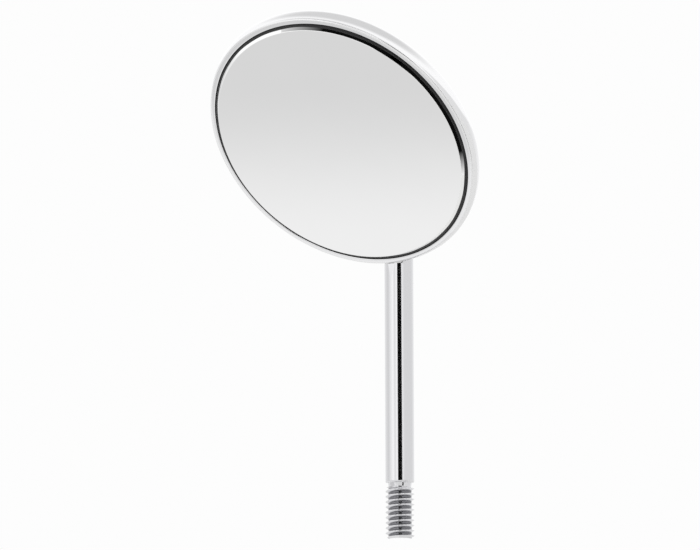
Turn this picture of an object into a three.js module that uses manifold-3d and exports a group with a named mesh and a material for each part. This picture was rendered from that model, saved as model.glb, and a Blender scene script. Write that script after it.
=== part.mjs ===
// A screw-in mouth mirror head, simple stem: a round, bevelled, front-surface mirror held in a drawn
// metal cup, and a straight stem brazed to the cup, with a threaded end that screws into a handle.
// Millimetres, +Z up. The origin is the middle of the flat end of the thread, and the stem's axis
// is Z. The mirror faces -Y and down. Profiles are (radius, height) points, turned about an axis.
import * as THREE from "three";
import { mergeVertices } from "three/addons/utils/BufferGeometryUtils.js";
import Module from "manifold-3d";

const wasm = await Module();
wasm.setup();

// ---- Driving dimensions ----

// Stem
const SHAFT_DIAMETER = 2.5;
const SHAFT_LENGTH = 19.6; // from the shoulder to where the stem's axis meets the cup's side
const RELIEF_DIAMETER = 1.94;
const RELIEF_LENGTH = 0.35;
const SHOULDER_CHAMFER = 0.1;

// Thread, right-handed
const THREAD_DIAMETER = 2.48;
const THREAD_ROOT_DIAMETER = 2.0;
const THREAD_PITCH = 0.45;
const THREAD_LENGTH = 4.45;
const TIP_CHAMFER = 0.25;

// Where the head sits on the stem
const HEAD_TILT = 39; // degrees between the plane of the mirror and the stem's axis
const STEM_STEP = 0.02; // how far the front of the stem stands out from the edge of the lip
const SCARF_HEIGHT = 1.2; // how far the stem's end stands off the back of the cup
const BRAZE_SIZE = 0.3; // leg of the braze fillet

// Mirror
const GLASS_DIAMETER = 23.96;
const GLASS_THICKNESS = 1.5;
const BEVEL_ANGLE = 50;
const BEVEL_SHOWS = 0.2; // clear width of the bevel, inside the sealant
const REAR_CHAMFER = 0.2;
const FILM_THICKNESS = 0.03; // reflecting film, on the front and the bevel of the glass
const LACQUER_THICKNESS = 0.05; // on its back
const LAYER_MARGIN = 0.05; // the film stops this short of the sealant, the lacquer of its flat's edge

// Sealant and pad
const SEAL_THICKNESS = 0.17; // between the edge of the glass and the cup
const SEAL_OVER_BEVEL = 0.06; // on the bevel, under the lip
const SEAL_SHOWS = 0.2; // how far it shows inside the lip
const PAD_THICKNESS = 0.25;
const PAD_MARGIN = 0.1; // the pad stops this short of the cup's inner corner

// Cup: one drawn and rolled piece
const CUP_WALL = 0.35;
const BACK_EDGE_RADIUS = 1.1;
const STRAIGHT_SIDE = 0.1; // height of the straight part of its side, in front of the back edge
const LIP_OVERLAP = 0.18; // how far the lip reaches in over the glass
const LIP_TIP_DEPTH = 0.1; // from the plane of the lip back to its inner tip
const LIP_BEAD_RADIUS = 0.18;

// Clearances
const LAYER_GAP = 0.01; // between the layers of the mirror, and around the seal
const JOINT_GAP = 0.02; // between the stem, the braze and the cup

// Facets
const RING_FACETS = 64;
const SHAFT_FACETS = 32;
const ARC_STEPS = 5;

// ---- Derived dimensions ----

const RADIANS = Math.PI / 180;
const shaftRadius = SHAFT_DIAMETER / 2;
const threadRadius = THREAD_DIAMETER / 2;
const rootRadius = THREAD_ROOT_DIAMETER / 2;
const reliefRadius = RELIEF_DIAMETER / 2;
const shoulderHeight = THREAD_LENGTH + RELIEF_LENGTH;
const glassRadius = GLASS_DIAMETER / 2;
const boreRadius = glassRadius + SEAL_THICKNESS;
const cupRadius = boreRadius + CUP_WALL;
const lipRadius = glassRadius - LIP_OVERLAP;
const toeRadius = lipRadius - SEAL_SHOWS;
const faceRadius = toeRadius - BEVEL_SHOWS;
const bevelSlope = Math.tan(BEVEL_ANGLE * RADIANS);
const bevelRise = 1 / Math.cos(BEVEL_ANGLE * RADIANS); // height of a layer on the bevel, per thickness

// Heights in the head are counted from the plane of the lip, out of the mirror's face.
const underLip = (SEAL_OVER_BEVEL + LAYER_GAP) * bevelRise;
const glassFront = (lipRadius - faceRadius) * bevelSlope - underLip - LIP_TIP_DEPTH;
const glassBack = glassFront - GLASS_THICKNESS;
const filmTop = glassFront + LAYER_GAP + FILM_THICKNESS;
const lacquerTop = glassBack - LAYER_GAP;
const padTop = lacquerTop - LACQUER_THICKNESS - LAYER_GAP;
const cupFloor = padTop - PAD_THICKNESS - LAYER_GAP;
const cupBack = cupFloor - CUP_WALL;
const cornerHeight = cupBack + BACK_EDGE_RADIUS; // centre of the rounding of the cup's back edge
const widestHeight = cornerHeight + STRAIGHT_SIDE; // above this the side leans in towards the lip

// The face of the bevel, raised by a layer of the given thickness.
const bevelHeight = (radius, layer = 0) =>
  glassFront - (radius - faceRadius) * bevelSlope + layer * bevelRise;

// The head's own frame: Z is the mirror's axis, out of its face, and Y points away from the stem.
// Its origin is the middle of the plane of the lip.
const tilt = HEAD_TILT * RADIANS;
const upFace = new THREE.Vector3(0, -Math.sin(tilt), Math.cos(tilt));
const outOfFace = new THREE.Vector3(0, -Math.cos(tilt), -Math.sin(tilt));
const stemSetback = (shaftRadius - STEM_STEP) / Math.cos(tilt); // from the lip back to the axis, on the side
const headCentre = new THREE.Vector3(0, 0, shoulderHeight + SHAFT_LENGTH)
  .addScaledVector(upFace, cupRadius)
  .addScaledVector(outOfFace, stemSetback);
const headMatrix = new THREE.Matrix4()
  .makeBasis(new THREE.Vector3().crossVectors(upFace, outOfFace), upFace, outOfFace)
  .setPosition(headCentre);

// ---- Shape helpers ----

// Points of an arc about (r, z), from one angle to another, in degrees.
function arc(r, z, radius, from, to, steps = ARC_STEPS) {
  return Array.from({ length: steps + 1 }, (_, i) => {
    const angle = (from + ((to - from) * i) / steps) * RADIANS;
    return [r + radius * Math.cos(angle), z + radius * Math.sin(angle)];
  });
}

// A profile that runs upwards on its outer side, turned about Z.
function turned(profile, facets = RING_FACETS) {
  const points = profile.map(([r, z]) => new THREE.Vector2(Math.max(r, 0), z));
  return new THREE.LatheGeometry(points, facets).rotateX(Math.PI / 2);
}

// A closed ring or disc from an open profile: it is closed back to its first point.
const closedTurned = (profile, facets) => turned([...profile, profile[0]], facets);

function toSolid(geometry) {
  const bare = new THREE.BufferGeometry();
  bare.setAttribute("position", geometry.toNonIndexed().getAttribute("position"));
  const merged = mergeVertices(bare, 1e-4);
  return new wasm.Manifold(
    new wasm.Mesh({
      numProp: 3,
      vertProperties: merged.getAttribute("position").array,
      triVerts: new Uint32Array(merged.index.array),
    }),
  );
}

function toGeometry(solid) {
  const { vertProperties, triVerts, numProp } = solid.getMesh();
  const positions = new Float32Array(triVerts.length * 3);
  triVerts.forEach((vertex, i) => {
    positions.set(vertProperties.subarray(vertex * numProp, vertex * numProp + 3), i * 3);
  });
  const geometry = new THREE.BufferGeometry();
  geometry.setAttribute("position", new THREE.BufferAttribute(positions, 3));
  return mergeVertices(geometry, 1e-4);
}

// A solid through a row of rings with the same number of points, with a flat cap at each end.
function throughRings(rings) {
  const side = rings[0].length;
  const points = rings.flat();
  const index = [];
  for (let i = 0; i + 1 < rings.length; i++) {
    for (let j = 0; j < side; j++) {
      const a = i * side + j;
      const b = i * side + ((j + 1) % side);
      index.push(a, b, b + side, a, b + side, a + side);
    }
  }
  const last = (rings.length - 1) * side;
  for (let j = 1; j + 1 < side; j++) {
    index.push(0, j + 1, j, last, last + j, last + j + 1);
  }
  return new THREE.BufferGeometry().setFromPoints(points).setIndex(index);
}

// ---- Head ----

// The cup's outside, grown by a margin, as points from the lip to the axis at the back.
function cupOutside(margin = 0) {
  const beadCentre = lipRadius + LIP_BEAD_RADIUS;
  const crease = [beadCentre + LIP_BEAD_RADIUS + margin, -LIP_BEAD_RADIUS];
  const drop = -LIP_BEAD_RADIUS - widestHeight;
  const run = cupRadius + margin - crease[0];
  const shoulderRadius = (drop * drop + run * run) / (2 * run);
  const shoulderAngle = Math.asin(drop / shoulderRadius) / RADIANS;
  const backCentre = [cupRadius - BACK_EDGE_RADIUS, cornerHeight];
  return [
    ...arc(cupRadius + margin - shoulderRadius, widestHeight, shoulderRadius, shoulderAngle, 0),
    ...arc(...backCentre, BACK_EDGE_RADIUS + margin, 0, -90),
    [0, cupBack - margin],
  ];
}

function cup() {
  const beadCentre = [lipRadius + LIP_BEAD_RADIUS, -LIP_BEAD_RADIUS];
  const tipAngle = 180 - Math.asin((LIP_BEAD_RADIUS - LIP_TIP_DEPTH) / LIP_BEAD_RADIUS) / RADIANS;
  const cornerRadius = BACK_EDGE_RADIUS - CUP_WALL;
  const profile = [
    [0, cupFloor],
    ...arc(cupRadius - BACK_EDGE_RADIUS, cornerHeight, cornerRadius, -90, 0),
    [boreRadius, bevelHeight(boreRadius, SEAL_OVER_BEVEL + LAYER_GAP)],
    ...arc(...beadCentre, LIP_BEAD_RADIUS, tipAngle, 0, ARC_STEPS + 2),
    ...cupOutside().slice(1),
  ];
  return turned(profile.reverse());
}

function glass() {
  return turned([
    [0, glassBack],
    [glassRadius - REAR_CHAMFER, glassBack],
    [glassRadius, glassBack + REAR_CHAMFER],
    [glassRadius, bevelHeight(glassRadius)],
    [faceRadius, glassFront],
    [0, glassFront],
  ]);
}

// A flat disc, from its top down.
function layer(radius, top, thickness) {
  return turned([
    [0, top - thickness],
    [radius, top - thickness],
    [radius, top],
    [0, top],
  ]);
}

const lacquerRadius = glassRadius - REAR_CHAMFER - LAYER_MARGIN;
const padRadius = cupRadius - BACK_EDGE_RADIUS - PAD_MARGIN;

// The radius at which a layer on the face turns down the bevel, at a given height over the glass.
const turnRadius = (height) => faceRadius + (height * (bevelRise - 1)) / bevelSlope;

// The reflecting film: over the face and down the bevel, almost to the sealant.
function film() {
  const end = toeRadius - LAYER_MARGIN;
  const top = filmTop - glassFront;
  return turned([
    [0, glassFront + LAYER_GAP],
    [turnRadius(LAYER_GAP), glassFront + LAYER_GAP],
    [end, bevelHeight(end, LAYER_GAP)],
    [end, bevelHeight(end, top)],
    [turnRadius(top), filmTop],
    [0, filmTop],
  ]);
}

// The sealant round the edge of the glass: up the edge, over the bevel and out under the lip.
function seal() {
  const inner = glassRadius + LAYER_GAP;
  const outer = boreRadius - LAYER_GAP;
  const bottom = Math.max(glassBack, cornerHeight);
  const round = toeRadius + SEAL_OVER_BEVEL;
  return closedTurned([
    [inner, bottom],
    [outer, bottom],
    [outer, bevelHeight(outer, SEAL_OVER_BEVEL)],
    [lipRadius, bevelHeight(lipRadius, SEAL_OVER_BEVEL)],
    [round, bevelHeight(round, SEAL_OVER_BEVEL)],
    [toeRadius, bevelHeight(toeRadius, LAYER_GAP)],
    [inner, bevelHeight(inner, LAYER_GAP)],
  ]);
}

// ---- Stem ----

// What the stem and the braze must leave free: the cup grown by a margin, and the space in front of it.
function cupEnvelope(margin) {
  const front = filmTop + cupRadius;
  const widest = cupOutside(margin).slice(ARC_STEPS);
  const profile = [[0, front], [cupRadius + margin, front], ...widest];
  return toSolid(turned(profile.reverse()).applyMatrix4(headMatrix));
}

// Everything further behind the cup's back than the given height.
function behindCup(height) {
  const far = cupRadius * 2;
  const near = cupBack - height;
  return toSolid(layer(far, near, far).applyMatrix4(headMatrix));
}

// The thread's groove: a V with a flat root, carried along a helix from past the tip into the relief.
// Its steps turn it by one facet of the shaft each, half a facet out of phase.
function threadGroove() {
  const depth = threadRadius - rootRadius;
  const overshoot = 0.03; // how far the V reaches outside the thread, short of its next turn
  const rootHalf = THREAD_PITCH / 8;
  const mouthHalf = THREAD_PITCH * 0.44;
  const grow = (mouthHalf - rootHalf) / depth;
  const section = [
    [rootRadius, rootHalf],
    [threadRadius + overshoot, mouthHalf + overshoot * grow],
    [threadRadius + overshoot, -mouthHalf - overshoot * grow],
    [rootRadius, -rootHalf],
  ];
  const first = -THREAD_PITCH;
  const last = THREAD_LENGTH + RELIEF_LENGTH / 2 - mouthHalf;
  const count = Math.round(((last - first) / THREAD_PITCH) * SHAFT_FACETS);
  const rings = Array.from({ length: count + 1 }, (_, i) => {
    const angle = ((i + 0.5) / SHAFT_FACETS) * 2 * Math.PI;
    const height = first + (i / SHAFT_FACETS) * THREAD_PITCH;
    return section.map(
      ([r, z]) => new THREE.Vector3(r * Math.cos(angle), r * Math.sin(angle), height + z),
    );
  });
  return toSolid(throughRings(rings));
}

function stem() {
  const top = shoulderHeight + SHAFT_LENGTH + cupRadius;
  const blank = turned(
    [
      [0, 0],
      [threadRadius - TIP_CHAMFER, 0],
      [threadRadius, TIP_CHAMFER],
      [threadRadius, THREAD_LENGTH],
      [reliefRadius, THREAD_LENGTH],
      [reliefRadius, shoulderHeight],
      [shaftRadius - SHOULDER_CHAMFER, shoulderHeight],
      [shaftRadius, shoulderHeight + SHOULDER_CHAMFER],
      [shaftRadius, top],
      [0, top],
    ],
    SHAFT_FACETS,
  );
  return toSolid(blank)
    .subtract(threadGroove())
    .subtract(cupEnvelope(JOINT_GAP))
    .subtract(behindCup(SCARF_HEIGHT));
}

// The braze: a collar round the stem where it meets the cup, no higher than its leg.
function braze() {
  const rod = (radius) => {
    const bottom = shoulderHeight + SHAFT_LENGTH / 2;
    const top = shoulderHeight + SHAFT_LENGTH + cupRadius;
    const profile = [[0, bottom], [radius, bottom], [radius, top], [0, top]];
    return toSolid(turned(profile, SHAFT_FACETS));
  };
  const nearCup = toSolid(
    turned([[0, -LIP_BEAD_RADIUS], ...cupOutside(BRAZE_SIZE)].reverse()).applyMatrix4(headMatrix),
  );
  return rod(shaftRadius + BRAZE_SIZE)
    .intersect(nearCup)
    .subtract(rod(shaftRadius + JOINT_GAP))
    .subtract(cupEnvelope(JOINT_GAP));
}

// ---- Assembly ----

function mesh(name, geometry, finish) {
  const part = new THREE.Mesh(geometry, new THREE.MeshStandardMaterial(finish));
  part.name = name;
  return part;
}

const polished = { color: 0xe4e6e8, metalness: 1, roughness: 0.08 };
const ground = { color: 0xdfe1e3, metalness: 1, roughness: 0.15 };
const silvery = { color: 0xeceef0, metalness: 1, roughness: 0.01 };
const clearGlass = { color: 0xf2f6f5, metalness: 0, roughness: 0.01, transparent: true, opacity: 0.25 };
const blackSealant = { color: 0x0c0c0d, metalness: 0, roughness: 0.5 };
const darkLacquer = { color: 0x26282a, metalness: 0, roughness: 0.6 };
const greyPad = { color: 0x77797b, metalness: 0, roughness: 0.9 };
const brazeMetal = { color: 0xd2d3d2, metalness: 1, roughness: 0.25 };

const head = new THREE.Group();
head.applyMatrix4(headMatrix);
head.add(
  mesh("mirror_cup", cup(), polished),
  mesh("mirror_glass", glass(), clearGlass),
  mesh("mirror_film", film(), silvery),
  mesh("backing_lacquer", layer(lacquerRadius, lacquerTop, LACQUER_THICKNESS), darkLacquer),
  mesh("bedding_pad", layer(padRadius, padTop, PAD_THICKNESS), greyPad),
  mesh("edge_seal", seal(), blackSealant),
);

const mouthMirror = new THREE.Group();
mouthMirror.add(
  head,
  mesh("threaded_stem", toGeometry(stem()), ground),
  mesh("braze_fillet", toGeometry(braze()), brazeMetal),
);

export default mouthMirror;
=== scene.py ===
"""Looks for a screw-in mouth mirror head, simple stem.

A round glass, bevelled in front and coated on its face and its bevel, sits in a drawn and rolled stainless
cup, sealed in with black sealant. A ground stainless stem is brazed to the cup, and its other end is
threaded for a handle. Every piece is turned or swept here as a fine surface around the CAD, in millimetres.
"""

import bmesh
import bpy
import numpy as np
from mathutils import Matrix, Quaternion, Vector


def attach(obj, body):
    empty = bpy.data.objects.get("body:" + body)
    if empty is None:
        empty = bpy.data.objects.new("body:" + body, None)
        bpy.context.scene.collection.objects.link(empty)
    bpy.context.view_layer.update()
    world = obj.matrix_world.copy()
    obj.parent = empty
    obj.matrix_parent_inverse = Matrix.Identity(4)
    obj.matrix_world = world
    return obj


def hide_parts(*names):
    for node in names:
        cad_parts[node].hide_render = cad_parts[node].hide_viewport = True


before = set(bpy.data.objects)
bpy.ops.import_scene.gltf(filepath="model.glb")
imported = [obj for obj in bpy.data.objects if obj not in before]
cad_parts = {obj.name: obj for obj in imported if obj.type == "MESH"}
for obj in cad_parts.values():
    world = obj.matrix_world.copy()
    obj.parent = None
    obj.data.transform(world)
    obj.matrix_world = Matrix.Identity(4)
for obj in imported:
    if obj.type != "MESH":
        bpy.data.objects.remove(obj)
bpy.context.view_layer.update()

MM = 0.001

# ---- Sizes in millimetres, as in the CAD unless a comment says otherwise ----

CUP_WALL = 0.35
BACK_EDGE_RADIUS = 1.1
STRAIGHT_SIDE = 0.1  # height of the straight part of the cup's side
BEAD_RADIUS = 0.18  # height of the rolled lip over its crease
BEAD_INSIDE = 0.13  # its width inside its top, a little narrower than in the CAD
BEAD_OUTSIDE = 0.39  # its width outside its top, wider than in the CAD
LIP_OVERLAP = 0.18  # how far the lip reaches in over the glass
LIP_TIP_DEPTH = 0.1
LIP_RIPPLE = np.array([0.012, 0.006])  # unevenness of the rolled lip, out and up
BEVEL_ANGLE = np.radians(50)
BEVEL_SHOWS = 0.2  # clear width of the bevel, inside the sealant
REAR_CHAMFER = 0.2
GLASS_ROUNDING = 0.025
SEAL_OVER_BEVEL = 0.06
SEAL_SHOWS = 0.2
SEAL_RIPPLE = 0.035  # unevenness of the sealant's wiped edge
LAYER_GAP = 0.01
FILM_UNDER = 0.002  # between the glass and the underside of the film
FILM_ON_BEVEL = 0.008  # the film is drawn thinner on the bevel than on the flat
FILM_EDGE_INSIDE = 0.03  # it thins from here, inside the bevel's upper edge
FILM_EDGE_OUTSIDE = 0.004  # to here, outside it
FILM_ROUNDING = 0.02
LACQUER_ROUNDING = 0.015
PAD_ROUNDING = 0.08

SHAFT_RADIUS = 1.25
THREAD_RADIUS = 1.24
THREAD_ROOT_RADIUS = 1.0
THREAD_PITCH = 0.45
THREAD_LENGTH = 4.45
THREAD_RUNOUT = 0.05
THREAD_START = 0.5 / 32  # in turns
GROOVE_HALF_WIDTH = 0.44  # in pitches, at the thread's outside
ROOT_HALF_WIDTH = 0.125  # in pitches
TIP_CHAMFER = 0.25
END_RING = 0.5  # radius of a ring on the stem's flat end
END_GUARD = 0.1  # and the distance of another from the chamfer
RELIEF_RADIUS = 0.97
RELIEF_TAPER = 0.06  # the relief grows by this up to the shoulder, and is straight in the CAD
SHOULDER_HEIGHT = 4.8
SHOULDER_CHAMFER = 0.1
TURNED_ROUNDING = 0.03
SCARF_HEIGHT = 1.2  # how far the stem's end stands off the back of the cup
SCARF_ROUNDING = 0.05
JOINT_GAP = 0.02
JOINT_START = 21.8  # from here up the stem's rings are close together, because the cup cuts into them
JOINT_STEP = 0.04
TIP_LENGTH = 0.5  # the rings draw together over this length, to the stem's top
FLAT_START = 22.14  # height where the front of the stem begins to be dressed flat
FLAT_SPREAD = np.radians(13)  # the flat widens upwards by this angle on either side
FLAT_HALF_WIDTH = 0.5

BRAZE_RISE = [0, 0.12, 0.3, 0.7, 1]  # parts of the seam's height
BRAZE_LEG = [0.05, 0.14, 0.27, 0.3, 0.48]  # the fillet's leg at each
BRAZE_WAVES = 9
BRAZE_WAVINESS = 0.06  # part of the leg
FOOT_SINK = 0.006
ROOT_SINK = 0.05

SAME_PLACE = 1e-6  # points nearer than this are one point
MERGE_DISTANCE = 1e-8  # the same on a finished mesh, in metres
HARD_CORNER = np.radians(42)

# ---- The head's own frame, read from the CAD ----


def cad_points(node):
    """A CAD node's vertices, in millimetres."""
    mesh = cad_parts[node].data
    flat = np.empty(len(mesh.vertices) * 3)
    mesh.vertices.foreach_get("co", flat)
    return flat.reshape(-1, 3) / MM


def disc_centre_and_axis(points):
    """The middle of a thin disc, and the direction in which its points spread least, turned forwards."""
    centre = (points.min(0) + points.max(0)) / 2
    axis = np.linalg.svd(points - centre, full_matrices=False)[2][2]
    return centre, axis * -np.sign(axis[1])


disc_centre, OUT = disc_centre_and_axis(cad_points("backing_lacquer"))
ACROSS = np.array([1.0, 0.0, 0.0])
UP = np.cross(OUT, ACROSS)
LIP_CENTRE = disc_centre + OUT * ((cad_points("mirror_cup") - disc_centre) @ OUT).max()


def head_span(node):
    """A head piece's largest radius and its lowest and highest height over the plane of the lip."""
    from_lip = cad_points(node) - LIP_CENTRE
    heights = from_lip @ OUT
    return np.hypot(from_lip @ ACROSS, from_lip @ UP).max(), heights.min(), heights.max()


CUP_RADIUS, CUP_BACK, _ = head_span("mirror_cup")
GLASS_RADIUS, GLASS_BACK, GLASS_FRONT = head_span("mirror_glass")
_, _, FILM_TOP = head_span("mirror_film")
_, SEAL_BOTTOM, _ = head_span("edge_seal")
LACQUER_SPAN = head_span("backing_lacquer")
PAD_SPAN = head_span("bedding_pad")
LIP_RADIUS = GLASS_RADIUS - LIP_OVERLAP
FACE_RADIUS = LIP_RADIUS - SEAL_SHOWS - BEVEL_SHOWS
BORE_RADIUS = CUP_RADIUS - CUP_WALL
CORNER_HEIGHT = CUP_BACK + BACK_EDGE_RADIUS
WIDEST_HEIGHT = CORNER_HEIGHT + STRAIGHT_SIDE
CREASE_RADIUS = LIP_RADIUS + BEAD_INSIDE + BEAD_OUTSIDE
SHOULDER_RUN = CUP_RADIUS - CREASE_RADIUS
SHOULDER_DROP = -BEAD_RADIUS - WIDEST_HEIGHT
SHOULDER_RADIUS = (SHOULDER_DROP**2 + SHOULDER_RUN**2) / (2 * SHOULDER_RUN)
STEM_TOP = cad_points("threaded_stem")[:, 2].max()


def bevel_height(radius, layer=0.0):
    """Height of the glass's bevel, raised by a layer of the given thickness."""
    return GLASS_FRONT - (radius - FACE_RADIUS) * np.tan(BEVEL_ANGLE) + layer / np.cos(BEVEL_ANGLE)


# ---- Profiles: rows of (radius, height) ----


def arc(centre, radius, start, end, steps):
    """Points on a circle about centre, from one angle to another in degrees."""
    angle = np.radians(np.linspace(start, end, steps + 1))
    return np.column_stack([centre[0] + radius * np.cos(angle), centre[1] + radius * np.sin(angle)])


def rounded(corners, radius, steps=5):
    """The corners joined by straight lines, each inner corner replaced by a curve that starts and ends
    at radius from it: (1-t)^2 before + 2t(1-t) corner + t^2 after, held to a third of the shorter side."""
    corners = np.array(corners, float)
    out = [corners[:1]]
    t = np.linspace(0, 1, steps + 1)[:, None]
    for before, corner, after in zip(corners[:-2], corners[1:-1], corners[2:]):
        sides = [before - corner, after - corner]
        lengths = [np.hypot(*side) for side in sides]
        reach = min(radius, min(lengths) / 3)
        a, b = (corner + side * reach / length for side, length in zip(sides, lengths))
        out.append((1 - t) ** 2 * a + 2 * t * (1 - t) * corner + t**2 * b)
    return np.vstack([*out, corners[-1:]])


def divided(profile, longest=0.6, guard=0.012, straight=0.12):
    """Runs longer than straight are divided, with a point close to each end, so that they shade flat."""
    out = [profile[:1]]
    for a, b in zip(profile[:-1], profile[1:]):
        length = np.hypot(*(b - a))
        if length > straight:
            along = np.linspace(guard, length - guard, int(length / longest) + 2) / length
            out.append(a + (b - a) * along[:, None])
        out.append(b[None])
    return np.vstack(out)


# ---- Meshes ----


def grid_mesh(name, points, ring=False):
    """A mesh over rows x columns of points. Columns run round and close, rows close too if ring is true,
    and a row whose points share one place is a pole. Each face is (i, j), (i, j+1), (i+1, j+1), (i+1, j)."""
    rows, columns = points.shape[:2]
    number = np.arange(rows * columns).reshape(rows, columns)
    below = number if ring else number[:-1]
    above = np.roll(number, -1, axis=0) if ring else number[1:]
    quads = [below, np.roll(below, -1, axis=1), np.roll(above, -1, axis=1), above]
    quads = np.stack(quads, axis=-1).reshape(-1, 4)
    flat = points.reshape(-1, 3)
    sides = [np.linalg.norm(flat[quads[:, i]] - flat[quads[:, i - 1]], axis=1) for i in range(4)]
    apart = [side > SAME_PLACE for side in sides]
    triangles = [np.delete(quads[~apart[i]], i, axis=1) for i in range(4)]
    mesh = bpy.data.meshes.new(name)
    faces = quads[np.all(apart, axis=0)].tolist() + np.vstack(triangles).tolist()
    mesh.from_pydata((flat * MM).tolist(), [], faces)
    mesh.validate()
    return mesh


def make_piece(name, mesh, node, slot, *materials):
    """An object that stands for a CAD node, shaded smooth except over hard corners."""
    shape = bmesh.new()
    shape.from_mesh(mesh)
    bmesh.ops.remove_doubles(shape, verts=shape.verts, dist=MERGE_DISTANCE)
    bmesh.ops.delete(shape, geom=[v for v in shape.verts if not v.link_faces], context="VERTS")
    shape.to_mesh(mesh)
    shape.free()
    mesh.polygons.foreach_set("use_smooth", np.ones(len(mesh.polygons), bool))
    mesh.set_sharp_from_angle(angle=HARD_CORNER)
    for material in materials:
        mesh.materials.append(material)
    piece = bpy.data.objects.new(name, mesh)
    bpy.context.scene.collection.objects.link(piece)
    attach(piece, "root")
    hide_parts(node)
    return piece


def turned(profile, shift=None, columns=288):
    """A profile turned about the head's axis: centre + radius (cos a ACROSS + sin a UP) + height OUT.
    Each row moves by its shift times 0.5 sin(3a + 1) + 0.3 sin(8a + 2.2) + 0.2 sin(21a + 0.4), a slow
    ripple, because the lip is rolled and the sealant is wiped by hand."""
    a = np.arange(columns) * 2 * np.pi / columns
    ripple = 0.5 * np.sin(3 * a + 1) + 0.3 * np.sin(8 * a + 2.2) + 0.2 * np.sin(21 * a + 0.4)
    radius, height = (profile[:, i : i + 1] + np.zeros(columns) for i in range(2))
    if shift is not None:
        radius = radius + shift[:, :1] * ripple
        height = height + shift[:, 1:] * ripple
    across = radius * np.cos(a)
    up = radius * np.sin(a)
    return LIP_CENTRE + across[..., None] * ACROSS + up[..., None] * UP + height[..., None] * OUT


# ---- Materials ----

NOISE_SPAN = {"From Min": 0.3, "From Max": 0.7}  # noise lies mostly between these
ONE_TO_NONE = {"To Min": 1.0, "To Max": 0.0}
ROOT_SHADE = 0.06  # the thread's root is shaded up to this height over its bottom, in millimetres
ROOT_SHADE_FADE = 0.2  # the shade fades over this length to the thread's upper end
ROOT_SHADE_TIP = (0.02, 0.1)  # and between these heights over the stem's lower end


def linear(colour):
    """An sRGB hex colour as linear RGBA: c/12.92 up to 0.04045, ((c+0.055)/1.055)^2.4 above."""
    c = np.array([int(colour[i : i + 2], 16) for i in (1, 3, 5)]) / 255
    return (*np.where(c <= 0.04045, c / 12.92, ((c + 0.055) / 1.055) ** 2.4).tolist(), 1.0)


def add(tree, kind, inputs=None, **settings):
    """Adds a node, with its settings, and its inputs as values or as links from other nodes' outputs."""
    node = tree.nodes.new(kind)
    for name, value in settings.items():
        setattr(node, name, value)
    for name, value in (inputs or {}).items():
        if isinstance(value, bpy.types.NodeSocket):
            tree.links.new(value, node.inputs[name])
        else:
            node.inputs[name].default_value = value
    return node


def new_material(name):
    material = bpy.data.materials.new(name)
    material.use_nodes = True
    material.node_tree.nodes.clear()
    return material, material.node_tree


def surface(tree, inputs):
    """Ends a material in a principled shader with these inputs."""
    shader = add(tree, "ShaderNodeBsdfPrincipled", inputs)
    add(tree, "ShaderNodeOutputMaterial", {"Surface": shader.outputs[0]})


def head_coordinates(tree):
    """Object coordinates turned into the head's frame, in millimetres: X across, Y up, Z out."""
    place = add(tree, "ShaderNodeTexCoord").outputs["Object"]
    centred = {"Vector": place, "Location": (-LIP_CENTRE * MM).tolist()}
    place = add(tree, "ShaderNodeMapping", centred).outputs[0]
    lean = float(np.arctan2(-OUT[1], OUT[2]))
    upright = {"Vector": place, "Rotation": (lean, 0, 0), "Scale": (1 / MM,) * 3}
    return add(tree, "ShaderNodeMapping", upright).outputs[0]


def stem_coordinates(tree):
    """Object coordinates in millimetres: Z runs along the stem."""
    place = add(tree, "ShaderNodeTexCoord").outputs["Object"]
    return add(tree, "ShaderNodeVectorMath", {0: place, 1: (1 / MM,) * 3}, operation="MULTIPLY").outputs[0]


def round_axis(tree, place):
    """The part of a place that lies across the Z axis, its length, which is the radius, and the height."""
    flat = add(tree, "ShaderNodeVectorMath", {0: place, 1: (1, 1, 0)}, operation="MULTIPLY").outputs[0]
    radius = add(tree, "ShaderNodeVectorMath", {0: flat}, operation="LENGTH").outputs["Value"]
    return flat, radius, add(tree, "ShaderNodeSeparateXYZ", {0: place}).outputs["Z"]


def round_marks(tree, place, across_mm, along_mm):
    """Noise drawn out round the Z axis: a mark is across_mm wide and along_mm long. The noise reads
    (radius, height) at the mark's width, and the direction from the axis at its length."""
    flat, radius, height = round_axis(tree, place)
    fine = add(tree, "ShaderNodeCombineXYZ", {"X": radius, "Y": height}).outputs[0]
    fine = add(tree, "ShaderNodeVectorMath", {0: fine, "Scale": 1 / across_mm}, operation="SCALE").outputs[0]
    slow = add(tree, "ShaderNodeVectorMath", {0: flat, "Scale": 1 / along_mm}, operation="SCALE").outputs[0]
    both = add(tree, "ShaderNodeVectorMath", {0: fine, 1: slow}, operation="ADD").outputs[0]
    return add(tree, "ShaderNodeTexNoise", {"Vector": both, "Scale": 1.0, "Detail": 3.0}).outputs["Fac"]


def polished_stainless():
    """Drawn 18/8 stainless, mirror polished on a mop while it turned: bright and nearly white, with
    faint marks that run round the cup and a slight unevenness from the drawing."""
    material, tree = new_material("mirror_polished_stainless_steel")
    place = head_coordinates(tree)
    marks = round_marks(tree, place, 0.06, 4)
    wavy = add(tree, "ShaderNodeTexNoise", {"Vector": place, "Scale": 1 / 1.6}).outputs["Fac"]
    height = add(tree, "ShaderNodeMath", {0: wavy, 1: 3.0, 2: marks}, operation="MULTIPLY_ADD").outputs[0]
    gloss = {"Value": marks, **NOISE_SPAN, "To Min": 0.05, "To Max": 0.11}
    surface(
        tree,
        {
            "Base Color": linear("#eeeeef"),
            "Metallic": 1.0,
            "Roughness": add(tree, "ShaderNodeMapRange", gloss).outputs[0],
            "Normal": add(tree, "ShaderNodeBump", {"Height": height, "Distance": 0.0004 * MM}).outputs[0],
        },
    )
    return material


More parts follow.
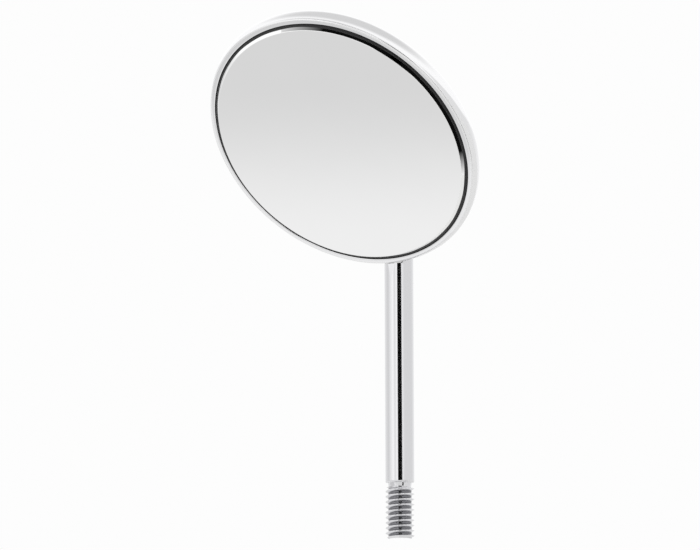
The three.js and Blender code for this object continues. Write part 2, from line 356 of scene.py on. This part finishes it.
def painted_root_shade(tree, place):
    """Where shade is painted in the thread: 1 in the bottom of the thread's groove and 0 elsewhere, the
    product of a fall with the radius, one with the height at the thread's upper end and a rise at its lower
    end."""
    _, radius, height = round_axis(tree, place)
    deep = {"Value": radius, "From Min": THREAD_ROOT_RADIUS, "From Max": THREAD_ROOT_RADIUS + ROOT_SHADE}
    top = {"Value": height, "From Min": THREAD_LENGTH - ROOT_SHADE_FADE, "From Max": THREAD_LENGTH}
    tip = {"Value": height, "From Min": ROOT_SHADE_TIP[0], "From Max": ROOT_SHADE_TIP[1]}
    deep = add(tree, "ShaderNodeMapRange", {**deep, **ONE_TO_NONE}).outputs[0]
    top = add(tree, "ShaderNodeMapRange", {**top, **ONE_TO_NONE}).outputs[0]
    tip = add(tree, "ShaderNodeMapRange", tip).outputs[0]
    shade_in_root = add(tree, "ShaderNodeMath", {0: deep, 1: top}, operation="MULTIPLY").outputs[0]
    return add(tree, "ShaderNodeMath", {0: shade_in_root, 1: tip}, operation="MULTIPLY").outputs[0]


def ground_stainless():
    """Centreless ground and buffed stainless bar: very fine rings round the stem, a little duller
    than the cup, with painted shade in the thread's root, where its colour is darkened. The rings are drawn
    0.05 mm wide, wider than the real ones, so that they show."""
    material, tree = new_material("centreless_ground_stainless_steel")
    place = stem_coordinates(tree)
    marks = round_marks(tree, place, 0.05, 3)
    handling = add(tree, "ShaderNodeTexNoise", {"Vector": place, "Scale": 1 / 2.5}).outputs["Fac"]
    gloss = {"Value": handling, **NOISE_SPAN, "To Min": 0.06, "To Max": 0.11}
    # Painted shade: the steel's colour darkens to a mid grey in the thread's root, where shade falls.
    tones = {"Factor": painted_root_shade(tree, place), "A": linear("#e2e2e4"), "B": linear("#7c7c80")}
    surface(
        tree,
        {
            "Base Color": add(tree, "ShaderNodeMix", tones, data_type="RGBA").outputs["Result"],
            "Metallic": 1.0,
            "Roughness": add(tree, "ShaderNodeMapRange", gloss).outputs[0],
            "Normal": add(tree, "ShaderNodeBump", {"Height": marks, "Distance": 0.0006 * MM}).outputs[0],
        },
    )
    return material


def clear_glass():
    """Polished float glass, water clear: sharp reflections and a refractive index of 1.52."""
    material, tree = new_material("polished_float_glass")
    clear = {"Base Color": linear("#fbfdfc"), "Roughness": 0.0, "IOR": 1.52, "Transmission Weight": 1.0}
    surface(tree, clear)
    return material


def blackened_glass_edge():
    """The edge of the glass wetted by the black sealant: light that reaches it is lost."""
    material, tree = new_material("glass_edge_wetted_by_sealant")
    place = head_coordinates(tree)
    patches = add(tree, "ShaderNodeTexNoise", {"Vector": place, "Scale": 1 / 0.2}).outputs["Fac"]
    nearly_none = {"Value": patches, **NOISE_SPAN, "To Min": 0.001, "To Max": 0.006}
    grey = add(tree, "ShaderNodeMapRange", nearly_none).outputs[0]
    tint = add(tree, "ShaderNodeCombineColor", {"Red": grey, "Green": grey, "Blue": grey}).outputs[0]
    surface(tree, {"Base Color": tint, "Roughness": 0.6, "Specular IOR Level": 0.1})
    return material


def mirror_film():
    """Rhodium deposited in vacuum on the front of the glass: a bright, neutral, perfectly smooth
    reflector, with only a trace of unevenness in its tone."""
    material, tree = new_material("vacuum_deposited_rhodium")
    place = head_coordinates(tree)
    patches = add(tree, "ShaderNodeTexNoise", {"Vector": place, "Scale": 1 / 5.0}).outputs["Fac"]
    tones = {"Factor": patches, "A": linear("#f4f4f4"), "B": linear("#f6f6f6")}
    tone = add(tree, "ShaderNodeMix", tones, data_type="RGBA").outputs["Result"]
    surface(tree, {"Base Color": tone, "Metallic": 1.0, "Roughness": 0.0})
    return material


def matt_coat(name, dark, light, grain_mm, roughness, depth_mm):
    """A dull coat or rubber on the head: two close tones in grains, and a bump of the same grain."""
    material, tree = new_material(name)
    place = head_coordinates(tree)
    fine = {"Vector": place, "Scale": 1 / grain_mm, "Detail": 4.0}
    grain = add(tree, "ShaderNodeTexNoise", fine).outputs["Fac"]
    mixed = add(tree, "ShaderNodeMapRange", {"Value": grain, **NOISE_SPAN}).outputs[0]
    tones = {"Factor": mixed, "A": linear(dark), "B": linear(light)}
    surface(
        tree,
        {
            "Base Color": add(tree, "ShaderNodeMix", tones, data_type="RGBA").outputs["Result"],
            "Roughness": roughness,
            "Normal": add(tree, "ShaderNodeBump", {"Height": grain, "Distance": depth_mm * MM}).outputs[0],
        },
    )
    return material


def silver_braze():
    """Silver brazing alloy, dressed and buffed with the joint: warmer and softer than the steel, with
    small frozen ripples left by the flow."""
    material, tree = new_material("dressed_silver_braze")
    place = stem_coordinates(tree)
    flow = add(tree, "ShaderNodeTexNoise", {"Vector": place, "Scale": 1 / 0.35, "Detail": 3.0}).outputs["Fac"]
    mixed = add(tree, "ShaderNodeMapRange", {"Value": flow, **NOISE_SPAN}).outputs[0]
    tones = {"Factor": mixed, "A": linear("#dad8d3"), "B": linear("#e6e5e2")}
    gloss = {"Value": flow, **NOISE_SPAN, "To Min": 0.16, "To Max": 0.26}
    surface(
        tree,
        {
            "Base Color": add(tree, "ShaderNodeMix", tones, data_type="RGBA").outputs["Result"],
            "Metallic": 1.0,
            "Roughness": add(tree, "ShaderNodeMapRange", gloss).outputs[0],
            "Normal": add(tree, "ShaderNodeBump", {"Height": flow, "Distance": 0.004 * MM}).outputs[0],
        },
    )
    return material


# ---- Head ----


def cup_profile():
    """Flat back, rounded back edge, straight side, shoulder leaning in to the crease, rolled bead, the
    underside of the lip along the bevel, the bore, the inner corner and the floor. The bead is an arc
    drawn out to its own width on either side of its top."""
    tip = 180 - np.degrees(np.arcsin((BEAD_RADIUS - LIP_TIP_DEPTH) / BEAD_RADIUS))
    bead = arc((0, 0), BEAD_RADIUS, 4, tip, 26)
    bead[:, 0] *= np.where(bead[:, 0] > 0, BEAD_OUTSIDE, BEAD_INSIDE) / BEAD_RADIUS
    lean = np.degrees(np.arcsin(SHOULDER_DROP / SHOULDER_RADIUS))
    corner = (CUP_RADIUS - BACK_EDGE_RADIUS, CORNER_HEIGHT)
    under = bevel_height(BORE_RADIUS, SEAL_OVER_BEVEL + LAYER_GAP)
    outside = [
        [[0, CUP_BACK]],
        arc(corner, BACK_EDGE_RADIUS, -90, 0, 26),
        arc((CUP_RADIUS - SHOULDER_RADIUS, WIDEST_HEIGHT), SHOULDER_RADIUS, 0, lean, 18),
        bead + (LIP_RADIUS + BEAD_INSIDE, -BEAD_RADIUS),
    ]
    inside = [
        [[BORE_RADIUS, under]],
        arc(corner, BACK_EDGE_RADIUS - CUP_WALL, 0, -90, 14),
        [[0, CUP_BACK + CUP_WALL]],
    ]
    return divided(np.vstack([*outside, *inside]))


def make_cup(material):
    """The cup, its lip rippled by a bell of height about the crease."""
    profile = cup_profile()
    bell_width = 0.3
    near_lip = np.exp(-(((profile[:, 1] + BEAD_RADIUS) / bell_width) ** 2)) * (profile[:, 0] > LIP_RADIUS)
    mesh = grid_mesh("rolled_cup", turned(profile, near_lip[:, None] * LIP_RIPPLE))
    return make_piece("rolled_cup", mesh, "mirror_cup", "polished_stainless", material)


def make_glass(clear, edge):
    """A disc with a wide front bevel and a small rear chamfer. Past the lip its faces are wetted by the
    sealant and take the second material."""
    corners = [
        (0, GLASS_BACK),
        (GLASS_RADIUS - REAR_CHAMFER, GLASS_BACK),
        (GLASS_RADIUS, GLASS_BACK + REAR_CHAMFER),
        (GLASS_RADIUS, bevel_height(GLASS_RADIUS)),
        (FACE_RADIUS, GLASS_FRONT),
        (0, GLASS_FRONT),
    ]
    profile = divided(rounded(corners, GLASS_ROUNDING), longest=0.3)
    mesh = grid_mesh("bevelled_glass", turned(profile))
    piece = make_piece("bevelled_glass", mesh, "mirror_glass", "mirror_glass", clear, edge)
    centres = np.empty(len(mesh.polygons) * 3)
    mesh.polygons.foreach_get("center", centres)
    from_lip = centres.reshape(-1, 3) / MM - LIP_CENTRE
    radius = np.hypot(from_lip @ ACROSS, from_lip @ UP)
    height = from_lip @ OUT
    wetted = (radius > LIP_RADIUS) | ((radius > GLASS_RADIUS - REAR_CHAMFER) & (height < GLASS_BACK / 2))
    mesh.polygons.foreach_set("material_index", wetted.astype(np.int32))
    return piece


def make_film(material):
    """The film covers the flat of the glass's front, rounds the edge and runs down the bevel to just
    under the lip, where the sealant lies on it."""
    under, over = GLASS_FRONT + FILM_UNDER, FILM_TOP
    corners = [
        (0, under),
        (FACE_RADIUS, under),
        (LIP_RADIUS, bevel_height(LIP_RADIUS, FILM_UNDER)),
        (LIP_RADIUS, bevel_height(LIP_RADIUS, FILM_ON_BEVEL)),
        (FACE_RADIUS + FILM_EDGE_OUTSIDE, GLASS_FRONT + FILM_ON_BEVEL),
        (FACE_RADIUS - FILM_EDGE_INSIDE, over),
        (0, over),
    ]
    mesh = grid_mesh("reflecting_film", turned(divided(rounded(corners, FILM_ROUNDING))))
    return make_piece("reflecting_film", mesh, "mirror_film", "mirror_film", material)


def make_layer(name, node, span, slot, material, rounding):
    """A flat disc between two heights, with its rim rounded."""
    radius, low, high = span
    profile = divided(rounded([(0, low), (radius, low), (radius, high), (0, high)], rounding))
    return make_piece(name, grid_mesh(name, turned(profile)), node, slot, material)


def make_seal(material):
    """The sealant fills the space round the glass, covers the bevel under the lip and ends inside it
    in a rounded toe: thickness over the bevel = full * sin(a), radius = lip - shown * cos(a)."""
    inner = GLASS_RADIUS + LAYER_GAP
    outer = BORE_RADIUS - LAYER_GAP
    a = np.radians(np.linspace(90, 0, 15))
    radius = LIP_RADIUS - SEAL_SHOWS * np.cos(a)
    thickness = LAYER_GAP + (SEAL_OVER_BEVEL - LAYER_GAP) * np.sin(a)
    over = np.column_stack([radius, bevel_height(radius, thickness)])
    start = [(inner, SEAL_BOTTOM), (outer, SEAL_BOTTOM), (outer, bevel_height(outer, SEAL_OVER_BEVEL))]
    profile = divided(np.vstack([start, over, [(inner, bevel_height(inner, LAYER_GAP))]]))
    shift = np.clip((LIP_RADIUS - profile[:, 0]) / SEAL_SHOWS, 0, 1) * SEAL_RIPPLE
    shift = np.column_stack([shift, -shift * np.tan(BEVEL_ANGLE)])
    mesh = grid_mesh("sealant_ring", turned(profile, shift), ring=True)
    return make_piece("sealant_ring", mesh, "edge_seal", "sealant", material)


# ---- Stem and braze ----


def off_cup(points):
    """Height of points off the cup's outside, below zero inside it: distance to the shoulder's circle in
    front of the widest height, to the side, to the back edge's circle, or to the flat back."""
    from_lip = points - LIP_CENTRE
    radius = np.hypot(from_lip @ ACROSS, from_lip @ UP)
    height = from_lip @ OUT
    in_shoulder = np.maximum(radius - (CUP_RADIUS - SHOULDER_RADIUS), 0)
    shoulder = np.hypot(in_shoulder, np.minimum(height, -BEAD_RADIUS) - WIDEST_HEIGHT) - SHOULDER_RADIUS
    in_corner = radius - (CUP_RADIUS - BACK_EDGE_RADIUS)
    corner = np.hypot(in_corner, height - CORNER_HEIGHT) - BACK_EDGE_RADIUS
    behind = np.where(in_corner > 0, corner, CUP_BACK - height)
    side_or_behind = np.where(height > CORNER_HEIGHT, radius - CUP_RADIUS, behind)
    return np.where(height > WIDEST_HEIGHT, shoulder, side_or_behind)


def cup_normal(points, step=1e-4):
    """The direction in which off_cup grows, by a small difference each way."""
    slope = [off_cup(points + step * axis) - off_cup(points - step * axis) for axis in np.eye(3)]
    slope = np.stack(slope, axis=-1)
    return slope / np.linalg.norm(slope, axis=-1, keepdims=True)


def soft_max(a, b, width):
    """The larger of two, with the corner between them eased over width."""
    return (a + b + np.sqrt((a - b) ** 2 + width**2)) / 2


def thread_radius(height, angle):
    """The thread's surface: a V groove with a flat root, whose middle rises one pitch a turn. u is the
    distance from the groove's middle; the depth falls from full at the root's edge to none at the
    groove's, half of the way as a straight flank and half eased."""
    lead = height - THREAD_PITCH * (angle / (2 * np.pi) - THREAD_START)
    u = np.abs(lead - THREAD_PITCH * np.round(lead / THREAD_PITCH))
    flank = GROOVE_HALF_WIDTH - ROOT_HALF_WIDTH
    depth = np.clip((GROOVE_HALF_WIDTH * THREAD_PITCH - u) / flank / THREAD_PITCH, 0, 1)
    eased = depth**2 * (3 - 2 * depth)
    return THREAD_RADIUS - (THREAD_RADIUS - THREAD_ROOT_RADIUS) * (depth + eased) / 2


def stem_below(angle):
    """The thread, the relief and the shoulder: the radius is the smaller of the turned blank and the
    thread, and each ring is (radius cos a, radius sin a, height)."""
    end_radius = THREAD_RADIUS - TIP_CHAMFER
    blank = [
        (end_radius - END_GUARD, 0),
        (end_radius, 0),
        (THREAD_RADIUS, TIP_CHAMFER),
        (THREAD_RADIUS, THREAD_LENGTH),
        (RELIEF_RADIUS, THREAD_LENGTH),
        (RELIEF_RADIUS + RELIEF_TAPER, SHOULDER_HEIGHT),
        (SHAFT_RADIUS - SHOULDER_CHAMFER, SHOULDER_HEIGHT),
        (SHAFT_RADIUS, SHOULDER_HEIGHT + SHOULDER_CHAMFER),
        (SHAFT_RADIUS, SHOULDER_HEIGHT + 3 * SHOULDER_CHAMFER),
    ]
    blank = divided(rounded(blank, TURNED_ROUNDING), longest=0.02, guard=0.009, straight=0.03)
    blank = np.vstack([[(0, 0), (END_RING, 0)], blank])
    radius, height = blank[:, :1], blank[:, 1:]
    in_thread = height < THREAD_LENGTH + THREAD_RUNOUT
    radius = np.minimum(radius, np.where(in_thread, thread_radius(height, angle), SHAFT_RADIUS))
    return np.stack([radius * np.cos(angle), radius * np.sin(angle), height + 0 * angle], axis=-1)


def behind_cup(x, z, in_front=-3.0, behind=2.0, halvings=26):
    """The foremost y at which the stem's surface can lie and be clear behind the cup, by halving the way
    between a place in front of the head and one behind it."""
    near, far = np.full_like(x, in_front), np.full_like(x, behind)
    for _ in range(halvings):
        middle = (near + far) / 2
        inside = off_cup(np.stack([x, middle, z], axis=-1)) < JOINT_GAP
        near, far = np.where(inside, middle, near), np.where(inside, far, middle)
    return near


def stem_above(angle):
    """The shaft: each ring of it is held behind the cup and behind the dressed flat, and in front of the
    scarf, which lies along the cup's back: y = held(R sin a), x = R cos a held to the circle at that y."""
    plain = np.linspace(SHOULDER_HEIGHT + 5 * SHOULDER_CHAMFER, JOINT_START, 8)
    joint = np.arange(JOINT_START + JOINT_STEP, STEM_TOP - TIP_LENGTH, JOINT_STEP)
    tip = STEM_TOP - TIP_LENGTH * np.linspace(1, 0, 24) ** 2
    height = np.concatenate([plain, joint, tip])[:, None]
    x = SHAFT_RADIUS * np.cos(angle) + 0 * height
    z = height + 0 * angle
    flat_half_width = np.clip(height - FLAT_START, 0, None) * np.tan(FLAT_SPREAD)
    flat = -np.sqrt(SHAFT_RADIUS**2 - np.minimum(flat_half_width, FLAT_HALF_WIDTH) ** 2)
    front = np.maximum(behind_cup(x, z), flat)
    back_of_cup = LIP_CENTRE + (CUP_BACK - SCARF_HEIGHT) * OUT
    scarf = back_of_cup[1] - (height - back_of_cup[2]) * OUT[2] / OUT[1]
    y = np.maximum(SHAFT_RADIUS * np.sin(angle), front)
    y = -soft_max(-y, -scarf, SCARF_ROUNDING)
    y = np.maximum(y, -SHAFT_RADIUS)
    reach = np.sqrt(np.clip(SHAFT_RADIUS**2 - np.minimum(scarf, 0) ** 2, 0, None))
    rings = np.stack([np.clip(x, -reach, reach), y, z], axis=-1)
    rings[-1] = (0, -SHAFT_RADIUS, STEM_TOP)
    return rings


def make_stem(material, columns=192):
    angle = np.arange(columns) * 2 * np.pi / columns
    mesh = grid_mesh("ground_stem", np.concatenate([stem_below(angle), stem_above(angle)]))
    return make_piece("ground_stem", mesh, "threaded_stem", "ground_stainless", material)


def seam(stations=220, samples=1500, rounds=12, top_margin=1e-5):
    """The closed line where the shaft's surface meets the cup's outside. For each height in the head the
    point on both is found by a few rounds of: up = -sqrt(outline^2 - x^2), y from up and height,
    x = sqrt(R^2 - y^2). It runs from the front round one side to the top and back down the other, with
    stations at even distances."""
    t = np.linspace(0, 1, samples)
    eased = np.sin(t * np.pi / 2) ** 2

    def on_both(height, outline):
        x = np.zeros_like(height)
        for _ in range(rounds):
            up = -np.sqrt(np.maximum(outline**2 - x**2, 0))
            y = LIP_CENTRE[1] + up * UP[1] + height * OUT[1]
            x = np.sqrt(np.maximum(SHAFT_RADIUS**2 - y**2, 0))
        return np.column_stack([x, y, LIP_CENTRE[2] + up * UP[2] + height * OUT[2]])

    front_height = -BEAD_RADIUS + (WIDEST_HEIGHT + BEAD_RADIUS) * eased
    bulge = np.sqrt(SHOULDER_RADIUS**2 - (front_height - WIDEST_HEIGHT) ** 2)
    lower = on_both(front_height, CUP_RADIUS - SHOULDER_RADIUS + bulge)
    a = t * np.pi / 2
    edge_radius = CUP_RADIUS - BACK_EDGE_RADIUS * (1 - np.cos(a))
    middle = on_both(CORNER_HEIGHT - BACK_EDGE_RADIUS * np.sin(a), edge_radius)
    side = np.arctan2(middle[-1, 1], middle[-1, 0])
    around = side + (-np.pi / 2 - side) * t
    x, y = SHAFT_RADIUS * np.cos(around), SHAFT_RADIUS * np.sin(around)
    z = LIP_CENTRE[2] + (CUP_BACK - (y - LIP_CENTRE[1]) * OUT[1]) / OUT[2]
    upper = np.column_stack([x, y, z])
    half = np.vstack([lower, middle[1:], upper[1:]])
    half = half[half[:, 1] > -SHAFT_RADIUS + top_margin]
    loop = np.vstack([half, half[::-1] * (-1, 1, 1)])
    steps = np.linalg.norm(np.roll(loop, -1, axis=0) - loop, axis=1)
    loop = np.vstack([loop[steps > SAME_PLACE], loop[:1]])
    distance = np.concatenate([[0], np.cumsum(np.linalg.norm(np.diff(loop, axis=0), axis=1))])
    even = np.linspace(0, distance[-1], stations, endpoint=False)
    return np.column_stack([np.interp(even, distance, loop[:, i]) for i in range(3)])


def braze_surface(steps=14):
    """A hollow fillet along the seam. One foot lies on the shaft and one on the cup, each a leg away from
    the seam K, and the section between them is (1-t)^2 foot1 + 2t(1-t) K + t^2 foot2, closed by a point
    sunk between shaft and cup. The leg is short at the front, where the joint is dressed flush, and
    long in the narrow gap at the top."""
    line = seam()
    on_shaft = line * (1, 1, 0) / SHAFT_RADIUS
    on_cup = cup_normal(line)
    along = np.cross(on_shaft, on_cup)
    along /= np.linalg.norm(along, axis=1, keepdims=True)
    up_shaft = np.cross(on_shaft, along)
    up_shaft *= np.sign(np.sum(up_shaft * on_cup, axis=1, keepdims=True))
    up_cup = np.cross(on_cup, along)
    up_cup *= np.sign(np.sum(up_cup * on_shaft, axis=1, keepdims=True))
    rise = (line[:, 2:] - line[:, 2].min()) / np.ptp(line[:, 2])
    around = np.arange(len(line))[:, None] * 2 * np.pi / len(line)
    leg = np.interp(rise, BRAZE_RISE, BRAZE_LEG) * (1 + BRAZE_WAVINESS * np.sin(BRAZE_WAVES * around))
    foot1 = line + leg * up_shaft
    foot1[:, :2] *= SHAFT_RADIUS / np.hypot(foot1[:, :1], foot1[:, 1:2])
    foot2 = line + leg * up_cup
    foot2 = foot2 - off_cup(foot2)[:, None] * cup_normal(foot2)
    foot1 -= FOOT_SINK * on_shaft
    foot2 -= FOOT_SINK * on_cup
    t = np.linspace(0, 1, steps)[:, None, None]
    skin = (1 - t) ** 2 * foot1 + 2 * t * (1 - t) * line + t**2 * foot2
    sunk = line - ROOT_SINK * (on_shaft + on_cup)
    return np.concatenate([skin, sunk[None]]).transpose(1, 0, 2)


def make_braze(material):
    """The fillet, turned the right way out if its volume comes out below zero."""
    mesh = grid_mesh("braze_seam", braze_surface(), ring=True)
    volume = sum(p.center.dot(p.normal) * p.area for p in mesh.polygons)
    if volume < 0:
        mesh.flip_normals()
    return make_piece("braze_seam", mesh, "braze_fillet", "braze", material)


make_cup(polished_stainless())
make_glass(clear_glass(), blackened_glass_edge())
make_film(mirror_film())
lacquer = matt_coat("dark_grey_backing_lacquer", "#242628", "#2c2e30", 0.08, 0.55, 0.002)
make_layer("lacquer_coat", "backing_lacquer", LACQUER_SPAN, "lacquer", lacquer, LACQUER_ROUNDING)
silicone = matt_coat("soft_grey_silicone", "#74767a", "#7f8184", 0.15, 0.85, 0.004)
make_layer("silicone_pad", "bedding_pad", PAD_SPAN, "pad", silicone, PAD_ROUNDING)
make_seal(matt_coat("cured_black_sealant", "#0b0b0c", "#161617", 0.12, 0.42, 0.006))
make_stem(ground_stainless())
make_braze(silver_braze())

# ---- Stage, in metres: camera, floor, light ----

SIGHT = Vector((0.5347, -0.8345, -0.1329)).normalized()  # from the object to the camera
SIGHT_RIGHT = Vector((0, 0, 1)).cross(SIGHT).normalized()
SIGHT_UP = SIGHT.cross(SIGHT_RIGHT)
AIM_LEFT = 4.18 * MM  # the middle of the view, from the stem's shoulder
AIM_UP = 17.785 * MM
CAMERA_DISTANCE = 1.5
CAMERA_ROLL = -0.0044
SENSOR_WIDTH = 36
VIEW_WIDTH = 0.05973  # across the view at the object
FLOOR_HEIGHT = -0.8
FLOOR_SIZE = 8

CARD_DISTANCE = 0.11
CARD_SIZE = 0.16
CARD_STRENGTH = {"From Min": -0.008, "From Max": 0.007, "To Min": 0.94, "To Max": 0.735}
FLAG_DISTANCE = 0.5
FLAG_STRENGTH = {"To Min": 0.004, "To Max": 0.95}

# Brightness round the horizon, by degrees to the right of the camera. It is dark on the camera's side.
HORIZON = [
    (-180, 1.12),
    (-144, 0.97),
    (-97, 0.8),
    (-75, 1.0),
    (-52, 1.2),
    (-36, 0.92),
    (-20, 1.2),
    (-16, 1.2),
    (-13, 0.0),
    (11, 0.0),
    (14, 1.05),
    (20, 1.1),
    (40, 0.86),
    (110, 0.86),
    (134, 0.97),
    (180, 1.12),
]
HORIZON_TOP = {"From Min": 0.19, "From Max": 0.25}  # the overhead light begins at this Z of a direction
OVERHEAD = {"From Min": 0.55, "From Max": 0.9, "To Min": 1.12, "To Max": 0.76}  # its brightness, by Z
BACKDROP = 0.982


def make_camera():
    aim = Vector((0, 0, SHOULDER_HEIGHT * MM)) - SIGHT_RIGHT * AIM_LEFT + SIGHT_UP * AIM_UP
    camera = bpy.data.objects.new("camera", bpy.data.cameras.new("camera"))
    camera.data.sensor_width = SENSOR_WIDTH
    camera.data.lens = SENSOR_WIDTH * CAMERA_DISTANCE / VIEW_WIDTH
    camera.data.clip_start = 0.01
    camera.location = aim + SIGHT * CAMERA_DISTANCE
    camera.rotation_mode = "QUATERNION"
    camera.rotation_quaternion = SIGHT.to_track_quat("Z", "Y") @ Quaternion((0, 0, 1), CAMERA_ROLL)
    bpy.context.scene.collection.objects.link(camera)
    bpy.context.scene.camera = camera


def stage_plane(name, centre, facing, size, material):
    """A square of the stage, size metres across, that faces a direction."""
    mesh = bpy.data.meshes.new(name)
    half = size / 2
    corners = [(-half, -half, 0), (half, -half, 0), (half, half, 0), (-half, half, 0)]
    mesh.from_pydata(corners, [], [(0, 1, 2, 3)])
    mesh.materials.append(material)
    plane = bpy.data.objects.new(name, mesh)
    plane.location = centre
    plane.rotation_mode = "QUATERNION"
    plane.rotation_quaternion = facing.to_track_quat("Z", "Y")
    bpy.context.scene.collection.objects.link(plane)
    return plane


def make_floor():
    """A plain pale floor, well below the object."""
    material, tree = new_material("pale_studio_floor")
    place = add(tree, "ShaderNodeTexCoord").outputs["Object"]
    patches = add(tree, "ShaderNodeTexNoise", {"Vector": place, "Scale": 1 / 0.4}).outputs["Fac"]
    tones = {"Factor": patches, "A": linear("#f4f4f3"), "B": linear("#f7f7f6")}
    tone = add(tree, "ShaderNodeMix", tones, data_type="RGBA").outputs["Result"]
    surface(tree, {"Base Color": tone, "Roughness": 0.9, "Specular IOR Level": 0.1})
    stage_plane("floor", Vector((0, 0, FLOOR_HEIGHT)), Vector((0, 0, 1)), FLOOR_SIZE, material)


def make_mirror_card():
    """The softly lit white card that the mirror shows: darker at its one end, so that the mirror's face
    brightens from its top to its bottom. Only reflections see it."""
    normal = Vector(OUT)
    seen = (2 * normal.dot(SIGHT) * normal - SIGHT).normalized()
    material, tree = new_material("lit_white_card")
    turn = (-seen).to_track_quat("Z", "Y")
    rise = SIGHT_UP - normal * seen.dot(SIGHT_UP) / seen.dot(normal)
    slope = (rise.dot(turn @ Vector((1, 0, 0))), rise.dot(turn @ Vector((0, 1, 0))), 0)
    place = add(tree, "ShaderNodeTexCoord").outputs["Object"]
    along = add(tree, "ShaderNodeVectorMath", {0: place, 1: slope}, operation="DOT_PRODUCT").outputs["Value"]
    fading = {"Value": along, **CARD_STRENGTH}
    strength = add(tree, "ShaderNodeMapRange", fading, interpolation_type="SMOOTHSTEP").outputs[0]
    emission = add(tree, "ShaderNodeEmission", {"Strength": strength})
    add(tree, "ShaderNodeOutputMaterial", {"Surface": emission.outputs[0]})
    centre = Vector(LIP_CENTRE * MM) + seen * CARD_DISTANCE
    card = stage_plane("mirror_card", centre, -seen, CARD_SIZE, material)
    card.visible_camera = False


def make_flag(name, azimuth, elevation, roll, width, height, fade):
    """A black flag that faces the head, at an azimuth to the right of the camera and an elevation,
    rolled, and width and height metres across, fading to white between two places along its X, which
    runs from -0.5 to 0.5. Only reflections see it."""
    material, tree = new_material("black_flag_velvet")
    place = add(tree, "ShaderNodeTexCoord").outputs["Object"]
    along = add(tree, "ShaderNodeSeparateXYZ", {0: place}).outputs["X"]
    fading = {"Value": along, "From Min": fade[0], "From Max": fade[1], **FLAG_STRENGTH}
    strength = add(tree, "ShaderNodeMapRange", fading).outputs[0]
    emission = add(tree, "ShaderNodeEmission", {"Strength": strength})
    add(tree, "ShaderNodeOutputMaterial", {"Surface": emission.outputs[0]})
    turn = np.arctan2(SIGHT.y, SIGHT.x) + np.radians(azimuth)
    lift = np.radians(elevation)
    way = Vector((np.cos(turn) * np.cos(lift), np.sin(turn) * np.cos(lift), np.sin(lift)))
    flag = stage_plane(name, Vector(LIP_CENTRE * MM) + way * FLAG_DISTANCE, -way, 1, material)
    flag.rotation_quaternion = flag.rotation_quaternion @ Quaternion((0, 0, 1), np.radians(roll))
    flag.scale = (width, height, 1)
    flag.visible_camera = False
    flag.visible_shadow = False


def make_world():
    """Soft studio light: the horizon's brightness low down and the overhead light above it. The camera
    itself sees a plain pale backdrop."""
    world = bpy.data.worlds.new("soft_studio")
    world.use_nodes = True
    tree = world.node_tree
    tree.nodes.clear()
    direction = add(tree, "ShaderNodeTexCoord").outputs["Generated"]
    parts = add(tree, "ShaderNodeSeparateXYZ", {0: direction}).outputs
    angle = add(tree, "ShaderNodeMath", {0: parts["Y"], 1: parts["X"]}, operation="ARCTAN2").outputs[0]
    camera_angle = float(np.arctan2(SIGHT.y, SIGHT.x))
    from_camera = add(tree, "ShaderNodeMath", {0: angle, 1: camera_angle}, operation="SUBTRACT").outputs[0]
    half_turns = {0: from_camera, 1: np.pi, 2: -np.pi}
    wrapped = add(tree, "ShaderNodeMath", half_turns, operation="WRAP").outputs[0]
    whole_turn = {"Value": wrapped, "From Min": -np.pi, "From Max": np.pi}
    place = add(tree, "ShaderNodeMapRange", whole_turn).outputs[0]
    ramp = add(tree, "ShaderNodeValToRGB", {"Fac": place})
    stops = ramp.color_ramp.elements
    while len(stops) < len(HORIZON):
        stops.new(0.5)
    for stop, (degrees, value) in zip(stops, HORIZON):
        stop.position = (degrees + 180) / 360
        stop.color = (value, value, value, 1)
    above = add(tree, "ShaderNodeMapRange", {"Value": parts["Z"], **HORIZON_TOP}).outputs[0]
    falling = {"Value": parts["Z"], **OVERHEAD}
    overhead = add(tree, "ShaderNodeMapRange", falling, interpolation_type="SMOOTHSTEP").outputs[0]
    low_and_high = {"Factor": above, "A": ramp.outputs["Color"], "B": overhead}
    around = add(tree, "ShaderNodeMix", low_and_high, data_type="RGBA").outputs["Result"]
    light = add(tree, "ShaderNodeBackground", {"Color": around})
    backdrop = add(tree, "ShaderNodeBackground", {"Color": (BACKDROP, BACKDROP, BACKDROP, 1)})
    seen = add(tree, "ShaderNodeLightPath").outputs["Is Camera Ray"]
    both = add(tree, "ShaderNodeMixShader", {0: seen, 1: light.outputs[0], 2: backdrop.outputs[0]})
    add(tree, "ShaderNodeOutputWorld", {"Surface": both.outputs[0]})
    bpy.context.scene.world = world


bpy.context.scene.view_settings.view_transform = "Standard"
make_camera()
make_floor()
make_mirror_card()
make_flag("lower_flag", azimuth=42, elevation=-26, roll=45, width=1.0, height=0.1, fade=(-0.26, -0.5))
make_flag("upper_flag", azimuth=-36, elevation=22.5, roll=16, width=0.82, height=0.1, fade=(0.1, 0.6))
make_world()
